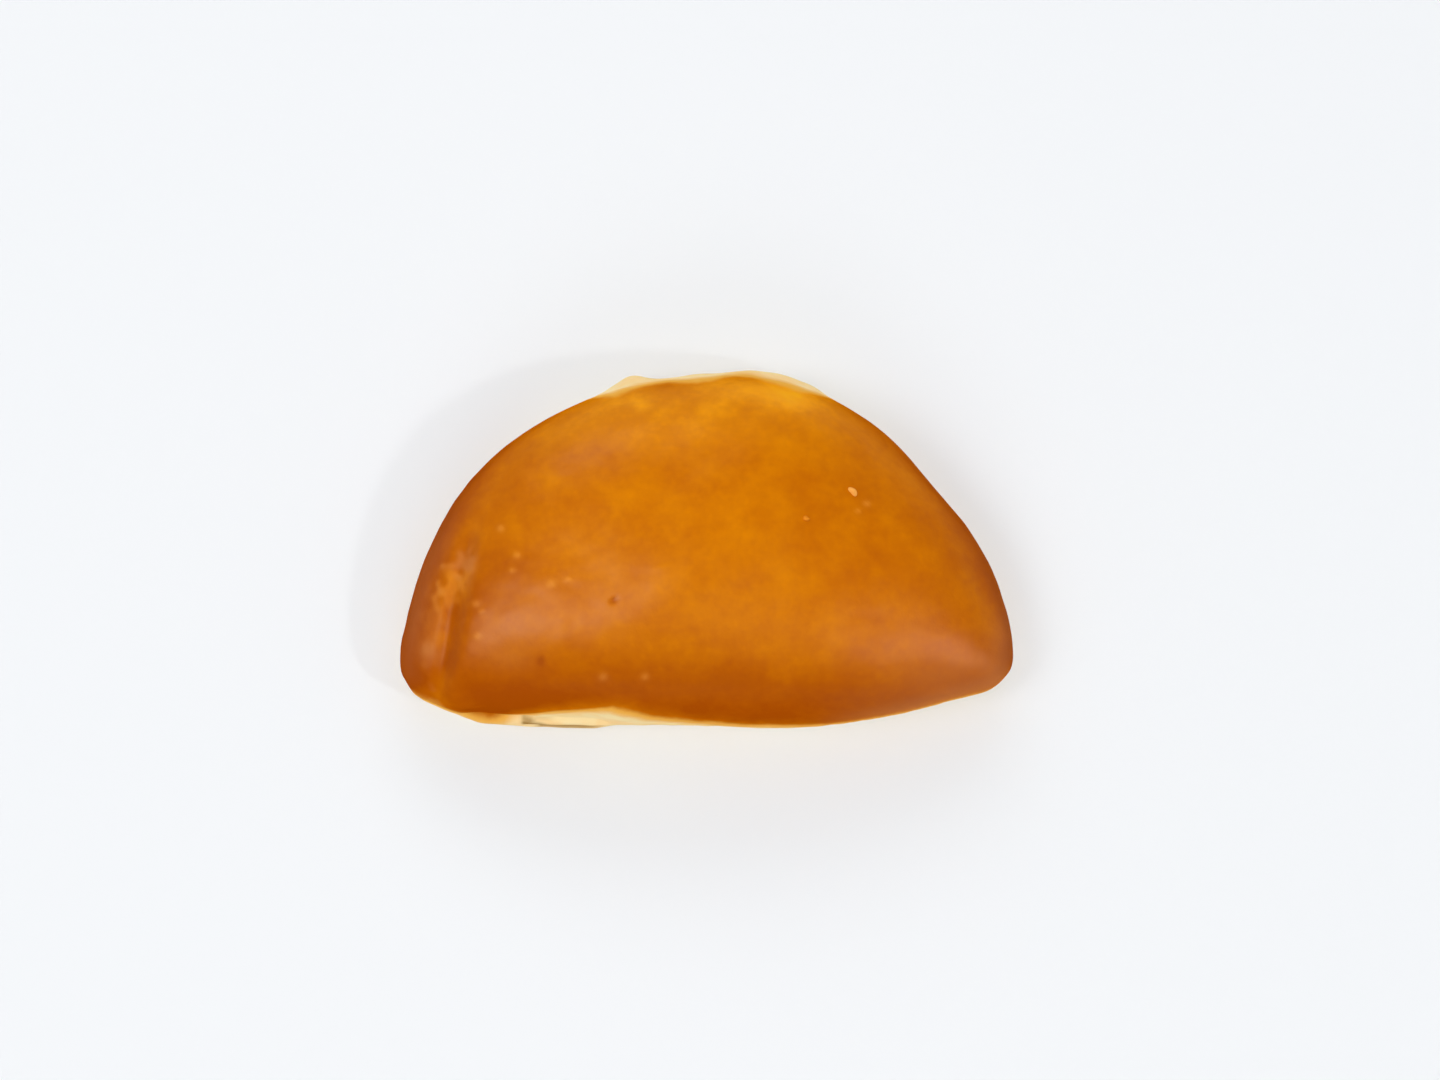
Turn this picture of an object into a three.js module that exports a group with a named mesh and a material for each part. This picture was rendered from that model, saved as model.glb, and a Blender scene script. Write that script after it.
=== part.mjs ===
// A baked half-moon pastry: one piece of soft dough folded over its filling.
// Millimetres, +Z up. The straight fold faces -Y, the curved seam faces +Y.
// The origin is the centre of the flat underside, on the surface it rests on.
import * as THREE from 'three';

// Overall size
const LENGTH = 130;
const DEPTH = 77.6;
const HEIGHT = 37;

// Outline seen from above: four superellipse quarters between the two corners and the two peaks
const CORNER_SETBACK = 14.9; // from the front of the fold back to the line through both corners
const BACK_PEAK_X = 7.4;
const FRONT_PEAK_X = 18.6;
const QUARTER_POWER = { backRight: 1.705, backLeft: 2.16, frontLeft: 5.1, frontRight: 1.775 };
const CORNER_SOFTNESS = 26; // the wave number past which the outline's ripples fade out
const WAVES = 44; // waves kept of the outline

// Side, from the flat underside up to the widest line
const WIDEST_Z = { ends: 10.5, front: 12, back: 10.5 };
const UNDERSIDE_INSET = { ends: 5.5, front: 4, back: 5.5 };
const SIDE_POWER = 2.3;

// Places along x where the seam's edge swells out at the back, as lips that fade above and below the widest line
const BACK_SWELLS = [
  { x: -16.8, half: 6, out: 2.85 },
  { x: -3, half: 6, out: 1.35 },
  { x: 7.5, half: 6, out: 1.55 },
  { x: 17.5, half: 7, out: 2.1 },
];
const SWELL_HALF_Z = 3.2;

// Places on the outline where it swells or dips
const EDGE_SWELLS = [
  { x: -60, y: -34, half: 6, out: -1.1 },
  { x: 14, y: -38.8, half: 14, out: 0.8 },
  { x: 60, y: -29, half: 6, out: 1.5 },
  { x: -65, y: -25, half: 9, out: 1.45 },
  { x: 45, y: 10, half: 11, out: -1.55 },
  { x: -57, y: 2, half: 9, out: -0.35 },
  { x: 2, y: 38.8, half: 20, out: -0.75 },
];

// Lip of unbrowned dough that stands out below the browned edge at the left of the fold
const LIP = { from: -52.1, to: -22.3, soft: 6, out: 0.85, edgeIn: 1.4, z: 4.6, half: 3.4 };
const LIP_CREASE = { z: 8.4, half: 0.9, deep: 0.8 };

// Pressed seam low on the curved side, which wavers in height and depth
const SEAM = { z: 6.2, half: 1.3, deep: 0.6, waver: 0.7, wavers: 5 };

// Slit in the lip where two layers part
const SLIT = { from: -39.5, to: -22, soft: 3, z: 6.4, half: 0.7, deep: 0.9 };

// Dome above the widest line
const DOME_REACH = 2.1; // the higher, the fuller the shoulders
const DOME_RISE = 2.05; // the higher, the steeper the sides
const CROWN_SHIFT_Y = 6; // how far the crown lies behind the middle of the outline's line
const END_FALL = 0.1; // share of the height lost at the two ends
const BACK_FALL = 0.05; // share of the height lost over half the depth, towards the back
const HIGHEST_Y = -16; // line along which the height is full

// Groove that parts the pressed left end from the dome, from its back end to its front end
const GROOVE = { backX: -51, backY: -2, frontX: -57.3, frontY: -33, half: 2.2, deep: 1.7 };
const GROOVE_FADE = 9; // length over which it runs out at its back end
const GROOVE_FLOOR = { z: 11, soft: 5 }; // it doesn't cut below this height
const PRESSED_END_DROP = 1.1; // how much lower the end lies beyond the groove

// Long shallow unevenness of the top: wavelengths along x and y, height and phase
const UNEVEN = [
  { alongX: 61, alongY: -95, high: 0.35, phase: 0.9 },
  { alongX: -38, alongY: 52, high: 0.22, phase: 2.4 },
];

// Facets
const AROUND = 132;
const SIDE_STEPS = 16;
const DOME_STEPS = 14;

const CRUST_COLOUR = 0xcc7408;

const HALF_TURN = Math.PI;
const QUARTER_TURN = Math.PI / 2;

// Smooth step from 0 at low to 1 at high
function ease(value, low, high) {
  const share = Math.min(1, Math.max(0, (value - low) / (high - low)));
  return share * share * (3 - 2 * share);
}

// 1 between two places, easing to 0 over a soft length at each end
function stretch(value, { from, to, soft }) {
  return ease(value, from - soft / 2, from + soft / 2) * (1 - ease(value, to - soft / 2, to + soft / 2));
}

// Bell curve, 1 at the middle
function bell(value, middle, half) {
  return Math.exp(-(((value - middle) / half) ** 2));
}

// One point of the half-moon outline, at a turn about its corner line
function outlinePoint(turn) {
  const cosine = Math.cos(turn);
  const sine = Math.sin(turn);
  const atBack = sine >= 0;
  const side = cosine >= 0 ? 'Right' : 'Left';
  const power = QUARTER_POWER[(atBack ? 'back' : 'front') + side];
  const peakX = atBack ? BACK_PEAK_X : FRONT_PEAK_X;
  const reachX = LENGTH / 2 - Math.sign(cosine) * peakX;
  const reachY = atBack ? DEPTH - CORNER_SETBACK : CORNER_SETBACK;
  return new THREE.Vector2(
    peakX + Math.sign(cosine) * reachX * Math.abs(cosine) ** (2 / power),
    CORNER_SETBACK - DEPTH / 2 + Math.sign(sine) * reachY * Math.abs(sine) ** (2 / power),
  );
}

// The outline as points at even steps along its length
function evenOutline(count) {
  const samples = 4000;
  const points = [];
  const lengths = [0];
  for (let i = 0; i <= samples; i += 1) {
    points.push(outlinePoint((2 * HALF_TURN * i) / samples));
    if (i > 0) lengths.push(lengths[i - 1] + points[i].distanceTo(points[i - 1]));
  }
  const even = [];
  let i = 1;
  for (let step = 0; step < count; step += 1) {
    const target = (lengths[samples] * step) / count;
    while (lengths[i] < target) i += 1;
    const share = (target - lengths[i - 1]) / (lengths[i] - lengths[i - 1]);
    even.push(points[i - 1].clone().lerp(points[i], share));
  }
  return even;
}

// A closed line of values as a sum of waves around it
function waveSeries(values) {
  const series = [];
  for (let k = 0; k <= WAVES; k += 1) {
    let cosine = 0;
    let sine = 0;
    values.forEach((value, i) => {
      const turn = (2 * HALF_TURN * k * i) / values.length;
      cosine += value * Math.cos(turn);
      sine += value * Math.sin(turn);
    });
    const share = (k === 0 ? 1 : 2) / values.length;
    series.push({ cosine: cosine * share, sine: sine * share });
  }
  return series;
}

// The series' value at a turn, each wave weighted by its number
function waveValue(series, turn, weight) {
  let value = 0;
  series.forEach(({ cosine, sine }, k) => {
    value += weight(k) * (cosine * Math.cos(k * turn) + sine * Math.sin(k * turn));
  });
  return value;
}

// Waves shrink towards the middle as share to the power of their number, so inner rings lose the corners
function ringPoint(line, turn, share) {
  const weight = (k) => share ** k;
  return line.map((series) => waveValue(series, turn, weight));
}

// The soft-cornered outline: place and outward direction at each of the columns around
function softOutline() {
  const sharp = evenOutline(AROUND * 4);
  const seriesX = waveSeries(sharp.map((point) => point.x));
  const seriesY = waveSeries(sharp.map((point) => point.y));
  const weight = (k) => Math.exp(-((k / CORNER_SOFTNESS) ** 2));
  const place = (turn) =>
    new THREE.Vector2(waveValue(seriesX, turn, weight), waveValue(seriesY, turn, weight));
  const nudge = 1e-3;
  return Array.from({ length: AROUND }, (_, i) => {
    const turn = (2 * HALF_TURN * i) / AROUND;
    const along = place(turn + nudge).sub(place(turn - nudge)).normalize();
    return { turn, point: place(turn), out: new THREE.Vector2(along.y, -along.x) };
  });
}

// How the side is made up at one column: lip, widest line, inset, edge, swell, seam and slit
function sideAt({ turn, point, out }) {
  const front = ease(-out.y, 0.3, 0.8);
  const back = ease(out.y, 0.2, 0.7);
  const blend = ({ ends, front: atFront, back: atBack }) =>
    ends + (atFront - ends) * front + (atBack - ends) * back;
  const away = ({ x, y }) => Math.hypot(point.x - x, point.y - y);
  const edgeSwell = EDGE_SWELLS.reduce((sum, place) => sum + place.out * bell(away(place), 0, place.half), 0);
  const backSwell = BACK_SWELLS.reduce((sum, place) => sum + place.out * bell(point.x, place.x, place.half), 0);
  const waver = Math.sin(SEAM.wavers * turn);
  const lip = front * stretch(point.x, LIP);
  return {
    lip,
    widestZ: blend(WIDEST_Z),
    inset: blend(UNDERSIDE_INSET),
    edge: edgeSwell - lip * LIP.edgeIn,
    swell: back * backSwell,
    seam: (1 - front) * SEAM.deep * (1 + waver / 2),
    seamZ: SEAM.z + SEAM.waver * waver,
    slit: front * stretch(point.x, SLIT) * SLIT.deep,
  };
}

// Point of the side at an angle: a quarter at the underside, 0 at the widest line
function sidePoint(column, side, angle) {
  const z = side.widestZ * (1 - Math.sin(angle) ** (2 / SIDE_POWER));
  const free = ease(z, 0, 2) * (1 - ease(z, side.widestZ - 1.5, side.widestZ));
  let offset = side.edge - side.inset * (1 - Math.cos(angle) ** (2 / SIDE_POWER));
  offset += side.swell * bell(z, side.widestZ, SWELL_HALF_Z);
  offset += side.lip * (LIP.out + LIP.edgeIn) * bell(z, LIP.z, LIP.half);
  offset -= free * side.lip * LIP_CREASE.deep * bell(z, LIP_CREASE.z, LIP_CREASE.half);
  offset -= free * side.seam * bell(z, side.seamZ, SEAM.half);
  offset -= side.slit * bell(z, SLIT.z, SLIT.half);
  const plan = column.point.clone().addScaledVector(column.out, offset);
  return [plan.x, plan.y, z];
}

// How much the groove and the pressed end beyond it take off at a point
function grooveDepth(x, y, z) {
  const along = new THREE.Vector2(GROOVE.frontX - GROOVE.backX, GROOVE.frontY - GROOVE.backY).normalize();
  const from = new THREE.Vector2(x - GROOVE.backX, y - GROOVE.backY);
  const runsOut = ease(from.dot(along), -GROOVE_FADE, GROOVE_FADE);
  const low = ease(z, GROOVE_FLOOR.z, GROOVE_FLOOR.z + GROOVE_FLOOR.soft);
  const beyond = from.cross(along);
  const step = PRESSED_END_DROP * ease(beyond, -GROOVE.half, GROOVE.half);
  return (GROOVE.deep * bell(beyond, 0, GROOVE.half) + step) * runsOut * low;
}

function unevenness(x, y) {
  return UNEVEN.reduce((sum, { alongX, alongY, high, phase }) => {
    return sum + high * Math.sin(2 * HALF_TURN * (x / alongX + y / alongY) + phase);
  }, 0);
}

// The widest line at one column, without the swells at the back
function edgePoint(column, side) {
  const plan = column.point.clone().addScaledVector(column.out, side.edge);
  return [plan.x, plan.y, side.widestZ];
}

// A point of the dome moved out by its column's swell
function swollen([x, y, z], { out }, { swell, widestZ }) {
  const by = swell * bell(z, widestZ, SWELL_HALF_Z);
  return [x + by * out.x, y + by * out.y, z];
}

// Rings of the dome, from the one above the widest line up to the last below the crown
function domeRings(columns, sides) {
  const edge = columns.map((column, i) => edgePoint(column, sides[i]));
  const line = [0, 1, 2].map((axis) => waveSeries(edge.map((point) => point[axis])));
  const place = (turn, angle) => {
    const share = Math.cos(angle) ** (2 / DOME_REACH);
    const lift = Math.sin(angle) ** (2 / DOME_RISE);
    const [x, ringY, edgeZ] = ringPoint(line, turn, share);
    const y = ringY + CROWN_SHIFT_Y * (1 - share * share);
    const endFall = 1 - END_FALL * (x / (LENGTH / 2)) ** 2;
    const backFall = 1 - (BACK_FALL * (y - HIGHEST_Y)) / (DEPTH / 2);
    const z = edgeZ + (HEIGHT * endFall * backFall + unevenness(x, y) - edgeZ) * lift;
    return [x, y, z - grooveDepth(x, y, z)];
  };
  const rings = [];
  for (let step = 1; step < DOME_STEPS; step += 1) {
    const angle = (QUARTER_TURN * step) / DOME_STEPS;
    rings.push(columns.map((column, i) => swollen(place(column.turn, angle), column, sides[i])));
  }
  return { rings, crown: place(0, QUARTER_TURN) };
}

// All rings from the underside to the crown, with a middle point at each end
function doughRings() {
  const columns = softOutline();
  const sides = columns.map(sideAt);
  const rings = [];
  for (let step = 0; step <= SIDE_STEPS; step += 1) {
    const angle = QUARTER_TURN * (1 - step / SIDE_STEPS);
    rings.push(columns.map((column, i) => sidePoint(column, sides[i], angle)));
  }
  const foot = [0, 1].map((axis) => waveSeries(rings[0].map((point) => point[axis])));
  const halfway = columns.map(({ turn }) => [...ringPoint(foot, turn, 0.5), 0]);
  const dome = domeRings(columns, sides);
  return {
    foot: [...ringPoint(foot, 0, 0), 0],
    rings: [halfway, ...rings, ...dome.rings],
    crown: dome.crown,
  };
}

// Rings joined into one closed surface, brought to the overall size with the underside's middle at the origin
function doughGeometry() {
  const { foot, rings, crown } = doughRings();
  const positions = [foot, ...rings.flat(), crown].flat();
  const faces = [];
  const at = (ring, i) => 1 + ring * AROUND + (i % AROUND);
  const last = rings.length - 1;
  const top = 1 + rings.length * AROUND;
  for (let i = 0; i < AROUND; i += 1) {
    faces.push(0, at(0, i + 1), at(0, i));
    faces.push(top, at(last, i), at(last, i + 1));
    for (let ring = 0; ring < last; ring += 1) {
      faces.push(at(ring, i), at(ring, i + 1), at(ring + 1, i));
      faces.push(at(ring, i + 1), at(ring + 1, i + 1), at(ring + 1, i));
    }
  }
  const geometry = new THREE.BufferGeometry();
  geometry.setAttribute('position', new THREE.Float32BufferAttribute(positions, 3));
  geometry.setIndex(faces);
  geometry.computeBoundingBox();
  const { min, max } = geometry.boundingBox;
  geometry.translate(-(min.x + max.x) / 2, -(min.y + max.y) / 2, -min.z);
  geometry.scale(LENGTH / (max.x - min.x), DEPTH / (max.y - min.y), HEIGHT / (max.z - min.z));
  geometry.computeVertexNormals();
  return geometry;
}

const crust = new THREE.MeshStandardMaterial({ color: CRUST_COLOUR, roughness: 0.45, metalness: 0 });

const pastry = new THREE.Mesh(doughGeometry(), crust);
pastry.name = 'pastry';

const part = new THREE.Group();
part.add(pastry);

export default part;
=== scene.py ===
import math

import bpy
import numpy as np
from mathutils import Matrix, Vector


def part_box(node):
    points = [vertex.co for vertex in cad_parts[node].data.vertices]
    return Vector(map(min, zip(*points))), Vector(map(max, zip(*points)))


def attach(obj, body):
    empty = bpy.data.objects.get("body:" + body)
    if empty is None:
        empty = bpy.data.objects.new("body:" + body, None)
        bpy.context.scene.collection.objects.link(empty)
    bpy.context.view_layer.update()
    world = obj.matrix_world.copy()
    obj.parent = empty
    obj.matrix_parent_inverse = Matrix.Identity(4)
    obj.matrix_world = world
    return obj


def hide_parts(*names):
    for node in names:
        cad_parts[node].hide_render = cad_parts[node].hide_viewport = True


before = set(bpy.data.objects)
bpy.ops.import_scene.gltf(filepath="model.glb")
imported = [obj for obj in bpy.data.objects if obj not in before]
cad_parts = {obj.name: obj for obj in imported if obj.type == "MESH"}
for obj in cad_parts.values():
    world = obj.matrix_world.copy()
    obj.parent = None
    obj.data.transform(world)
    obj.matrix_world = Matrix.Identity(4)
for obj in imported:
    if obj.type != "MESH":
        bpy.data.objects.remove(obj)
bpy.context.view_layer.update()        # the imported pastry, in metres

scene = bpy.context.scene
mm = 0.001
low, high = (np.array(corner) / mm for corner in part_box("pastry"))
length, depth, height = high - low
print("pastry box, mm:", np.round(high - low, 2))


# new object in the scene
def addObject(name, data):
    made = bpy.data.objects.new(name, data)
    scene.collection.objects.link(made)
    return made


# smooth step from 0 at lo to 1 at hi: three times the share's square less twice its cube
def ease(value, lo, hi):
    share = np.clip((value - lo) / (hi - lo), 0, 1)
    return share * share * (3 - 2 * share)


# 1 between two places, easing to 0 over a soft length at each end
def stretch(value, start, stop, soft):
    opening = ease(value, start - soft / 2, start + soft / 2)
    return opening * (1 - ease(value, stop - soft / 2, stop + soft / 2))


# bell curve, 1 at the middle
def bell(value, middle, half):
    return np.exp(-((value - middle) / half) ** 2)


# uneven relief: a sum of plane waves of about one wavelength in random directions, scaled to an rms of 1
def ripple(points, wavelength, seed, waves=26, spread=(0.7, 1.45), squash=(1, 1, 1)):
    draw = np.random.default_rng(seed)
    way = draw.normal(size=(waves, 3))
    way /= np.linalg.norm(way, axis=1)[:, None]
    way *= 2 * np.pi / (wavelength * draw.uniform(*spread, waves))[:, None] / np.array(squash)
    phase = draw.uniform(0, 2 * np.pi, waves)
    return np.cos(points @ way.T + phase).sum(-1) * math.sqrt(2 / waves)


# camera at the photograph's angle
photoView = dict(
    wide=1440, tall=1080,            # photograph's frame, pixels
    elevation=78.0,                  # degrees above the table
    distance=726.2,                  # mm from the aim point
    lens=85.0, sensor=36.0,
    clip=(0.01, 20),                 # metres
    aimHeight=10.0,                  # mm above the table, on the pastry's middle line
    aimPixel=(706.9, 547.5),         # where the aim point is seen
    pixelsPerMm=4.75,                # at the dome's middle height
)


def makeCamera(v):
    tilt = math.radians(v["elevation"])
    back = Vector((0, -math.cos(tilt), math.sin(tilt)))
    data = bpy.data.cameras.new("photoCamera")
    data.lens, data.sensor_width = v["lens"], v["sensor"]
    data.clip_start, data.clip_end = v["clip"]
    data.shift_x = (v["wide"] / 2 - v["aimPixel"][0]) / v["wide"]
    data.shift_y = (v["aimPixel"][1] - v["tall"] / 2) / v["wide"]
    camera = addObject("photoCamera", data)
    camera.location = Vector((0, 0, v["aimHeight"] * mm)) + back * v["distance"] * mm
    camera.rotation_euler = (-back).to_track_quat("-Z", "Y").to_euler()
    scene.camera = camera


# pixel of the photograph at which each point is seen: its offsets across the view, over its distance along it
def seenAt(points, v):
    tilt = math.radians(v["elevation"])
    rise = points[..., 2] - v["aimHeight"]
    up = points[..., 1] * math.sin(tilt) + rise * math.cos(tilt)
    away = v["distance"] + points[..., 1] * math.cos(tilt) - rise * math.sin(tilt)
    scale = v["lens"] / v["sensor"] * v["wide"] / away
    return v["aimPixel"][0] + scale * points[..., 0], v["aimPixel"][1] - scale * up


makeCamera(photoView)
print("camera placed")


# the dough's form, in mm
dough = dict(
    around=480, baseRings=6, sideRings=80, domeRings=110,
    # outline from above: superellipse quarters between two corners and two peaks
    cornerSetback=14.9, backPeakX=7.4, frontPeakX=18.6,
    backRight=1.705, backLeft=2.16, frontLeft=5.1, frontRight=1.775,
    outlineSteps=4001, cornerSoftness=26, wavesKept=44,
    facesFront=(0.3, 0.8), facesBack=(0.2, 0.7),     # outward y from which a column counts as front or back
    backSwells=((-16.8, 6, 2.85), (-3, 6, 1.35), (7.5, 6, 1.55), (17.5, 7, 2.1)),   # x, half length, out
    swellHalfZ=3.2,
    # x and y on the outline, half length, out
    edgeSwells=((-60, -34, 6, -1.1), (14, -38.8, 14, 0.8), (60, -29, 6, 1.5), (-65, -25, 9, 1.45),
                (45, 10, 11, -1.55), (-57, 2, 9, -0.35), (2, 38.8, 20, -0.75)),
    # side, from the underside up to the widest line
    widestEnds=10.5, widestFront=12, insetEnds=5.5, insetFront=4, sidePower=2.3, footSoft=2, widestSoft=1.5,
    lipFrom=-52.1, lipTo=-22.3, lipSoft=6, lipOut=0.85, lipEdgeIn=1.4, lipZ=4.6, lipHalf=3.4,
    creaseZ=8.4, creaseHalf=0.9, creaseDeep=0.8,
    seamZ=6.2, seamHalf=1.3, seamDeep=0.6, seamWaver=0.7, seamWavers=5, seamUneven=0.5,
    slitFrom=-39.5, slitTo=-22, slitSoft=2, slitZ=5.6, slitHalf=0.5, slitDeep=0.9,
    # dome above the widest line
    domeReach=2.1, domeRise=2.05, crownShiftY=6, endFall=0.1, backFall=0.05, highestY=-16,
    grooveBack=(-51, -2), grooveFront=(-57.3, -33), grooveHalf=2.2, grooveDeep=1.7,
    grooveFade=9, grooveFloor=11, grooveFloorSoft=5, pressedEndDrop=1.1,
    uneven=((61, -95, 0.35, 0.9), (-38, 52, 0.22, 2.4)),             # wavelengths in x and y, high, phase
)


# half-moon outline as complex x + iy: |cos| and |sin| to the power 2 / n, at even steps of length
def halfMoon(d, count):
    turn = np.linspace(0, 2 * np.pi, d["outlineSteps"])
    cosine, sine = np.cos(turn), np.sin(turn)
    right, back = cosine >= 0, sine >= 0
    power = np.where(back, np.where(right, d["backRight"], d["backLeft"]),
                     np.where(right, d["frontRight"], d["frontLeft"]))
    peakX = np.where(back, d["backPeakX"], d["frontPeakX"])
    reachX = length / 2 - np.sign(cosine) * peakX
    reachY = np.where(back, depth - d["cornerSetback"], d["cornerSetback"])
    x = peakX + np.sign(cosine) * reachX * np.abs(cosine) ** (2 / power)
    y = d["cornerSetback"] - depth / 2 + np.sign(sine) * reachY * np.abs(sine) ** (2 / power)
    run = np.append(0, np.cumsum(np.hypot(np.diff(x), np.diff(y))))
    even = np.arange(count) * run[-1] / count
    return np.interp(even, run, x) + 1j * np.interp(even, run, y)


# rings of a closed line: its k-th wave is shrunk by share ** k, so inner rings lose the corners
def rings(line, shares, kept):
    number = np.abs(np.fft.fftfreq(line.size, 1 / line.size))
    fade = np.asarray(shares)[:, None] ** number * (number <= kept)
    return np.fft.ifft(np.fft.fft(line) * fade, axis=1)


# soft-cornered outline, whose high waves fade as a bell, and its outward direction, the way along it turned
# by a quarter
def softOutline(d):
    count = d["around"]
    number = np.fft.fftfreq(count, 1 / count)
    waves = np.fft.fft(halfMoon(d, count)) * np.exp(-(number / d["cornerSoftness"]) ** 2)
    waves *= np.abs(number) <= d["wavesKept"]
    along = np.fft.ifft(waves * 1j * number)
    return np.fft.ifft(waves), -1j * along / np.abs(along)


# how far each column faces the front and the back, from its outward direction's y
def facing(outY, d):
    return ease(-outY, *d["facesFront"]), ease(outY, *d["facesBack"])


# dome rows: how far each ring shrinks, as cos ** (2 / reach), and rises, as sin ** (2 / rise)
def domeSteps(d):
    angle = np.linspace(0, np.pi / 2, d["domeRings"] + 1)[1:]
    share, lift = np.cos(angle) ** (2 / d["domeReach"]), np.sin(angle) ** (2 / d["domeRise"])
    share[-1] = 0
    return share, lift


# groove across the left end: a bell across its line and a drop beyond it, both fading in along it
def grooveDepth(plan, d):
    start, stop = np.array(d["grooveBack"]), np.array(d["grooveFront"])
    way = (stop - start) / np.linalg.norm(stop - start)
    relX, relY = plan.real - start[0], plan.imag - start[1]
    beyond = relX * way[1] - relY * way[0]
    groove = d["grooveDeep"] * bell(beyond, 0, d["grooveHalf"])
    groove += d["pressedEndDrop"] * ease(beyond, -d["grooveHalf"], d["grooveHalf"])
    return groove * ease(relX * way[0] + relY * way[1], -d["grooveFade"], d["grooveFade"])


# grid of the dough: rows run from the underside's middle over the side to the crown, columns run around
def doughGrid(d):
    line, out = softOutline(d)
    x = line.real
    turn = np.arange(d["around"]) * 2 * np.pi / d["around"]
    front, back = facing(out.imag, d)
    lip = front * stretch(x, d["lipFrom"], d["lipTo"], d["lipSoft"])
    edge = -lip * d["lipEdgeIn"]
    swell = sum(back * by * bell(x, place, half) for place, half, by in d["backSwells"])
    for placeX, placeY, half, by in d["edgeSwells"]:
        edge = edge + by * bell(np.hypot(x - placeX, line.imag - placeY), 0, half)
    widest = d["widestEnds"] + (d["widestFront"] - d["widestEnds"]) * front
    inset = d["insetEnds"] + (d["insetFront"] - d["insetEnds"]) * front
    waver = np.sin(d["seamWavers"] * turn)

    # side: a superellipse quarter with the lip, crease, seam and slit added along the outward direction
    angle = np.linspace(np.pi / 2, 0, d["sideRings"] + 1)[:, None]
    z = widest * (1 - np.sin(angle) ** (2 / d["sidePower"]))
    free = ease(z, 0, d["footSoft"]) * (1 - ease(z, widest - d["widestSoft"], widest))
    offset = edge - inset * (1 - np.cos(angle) ** (2 / d["sidePower"]))
    offset += swell * bell(z, widest, d["swellHalfZ"])
    offset += lip * (d["lipOut"] + d["lipEdgeIn"]) * bell(z, d["lipZ"], d["lipHalf"])
    offset -= free * lip * d["creaseDeep"] * bell(z, d["creaseZ"], d["creaseHalf"])
    seam = (1 - front) * d["seamDeep"] * (1 + d["seamUneven"] * waver)
    offset -= free * seam * bell(z, d["seamZ"] + d["seamWaver"] * waver, d["seamHalf"])
    slit = front * stretch(x, d["slitFrom"], d["slitTo"], d["slitSoft"]) * d["slitDeep"]
    offset -= slit * bell(z, d["slitZ"], d["slitHalf"])
    side = line + out * offset

    # underside: flat rings inside the foot line
    shares = np.arange(1, d["baseRings"]) / d["baseRings"]
    base = rings(side[0], shares, d["wavesKept"])

    # dome: rings that shrink and rise, with the crown moved back
    share, lift = domeSteps(d)
    plan = rings(line + out * edge, share, d["wavesKept"])
    plan += 1j * d["crownShiftY"] * (1 - share * share)[:, None]
    foot = rings(widest + 0j, share, d["wavesKept"]).real
    fall = 1 - d["endFall"] * (plan.real / (length / 2)) ** 2
    fall *= 1 - d["backFall"] * (plan.imag - d["highestY"]) / (depth / 2)
    top = height * fall
    for alongX, alongY, by, phase in d["uneven"]:
        top = top + by * np.sin(2 * np.pi * (plan.real / alongX + plan.imag / alongY) + phase)
    domeZ = foot + (top - foot) * lift[:, None]
    domeZ -= grooveDepth(plan, d) * ease(domeZ, d["grooveFloor"], d["grooveFloor"] + d["grooveFloorSoft"])
    plan += out * swell * bell(domeZ, widest, d["swellHalfZ"])

    plan = np.concatenate([base, side, plan])
    z = np.concatenate([np.zeros(base.shape), z, domeZ])
    grid = np.stack([plan.real, plan.imag, z], -1)
    return grid, d["baseRings"] - 1 + d["sideRings"]


# outward normal of each grid point: cross product of the steps around and up
def gridNormals(grid):
    around = np.roll(grid, -1, 1) - np.roll(grid, 1, 1)
    up = np.gradient(grid, axis=0)
    normal = np.cross(around, up)
    normal[-1] = (0, 0, 1)
    size = np.linalg.norm(normal, axis=2, keepdims=True)
    return normal / np.maximum(size, 1e-9)           # no division by zero


# closed mesh of grids (piece, row, column): each last row is one point, a middle point closes each first row
def closedMesh(name, grids, values):
    count, rows, columns = grids.shape[:3]
    each = (rows - 1) * columns + 2
    middles, crowns = grids[:, 0].mean(1)[:, None], grids[:, -1, :1]
    points = np.concatenate([grids[:, :-1].reshape(count, -1, 3), middles, crowns], 1).reshape(-1, 3)
    index = np.arange((rows - 1) * columns).reshape(rows - 1, columns)
    after = np.roll(index, -1, 1)
    quads = np.stack([index[:-1], after[:-1], after[1:], index[1:]], -1).reshape(-1, 4)
    under, crown = np.full(columns, each - 2), np.full(columns, each - 1)
    caps = np.concatenate([np.stack([under, after[0], index[0]], -1),
                           np.stack([index[-1], after[-1], crown], -1)])
    start = np.arange(count)[:, None, None] * each
    faces = (quads + start).reshape(-1, 4).tolist() + (caps + start).reshape(-1, 3).tolist()
    mesh = bpy.data.meshes.new(name)
    mesh.from_pydata((points * mm).tolist(), [], faces)
    for key, value in values.items():
        middles, crowns = value[:, 0].mean(1)[:, None], value[:, -1, :1]
        flat = np.concatenate([value[:, :-1].reshape(count, -1), middles, crowns], 1)
        mesh.attributes.new(key, "FLOAT", "POINT").data.foreach_set("value", flat.ravel().astype(np.float32))
    mesh.polygons.foreach_set("use_smooth", np.ones(len(mesh.polygons), bool))
    mesh.update()
    return mesh


grid, widestRow = doughGrid(dough)
box = grid.reshape(-1, 3)
scale = (high - low) / np.ptp(box, axis=0)
grid = (grid - (box.max(0) + box.min(0)) / 2) * scale + (high + low) / 2
footRow = dough["baseRings"] - 1
print("dough grid", grid.shape)

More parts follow.
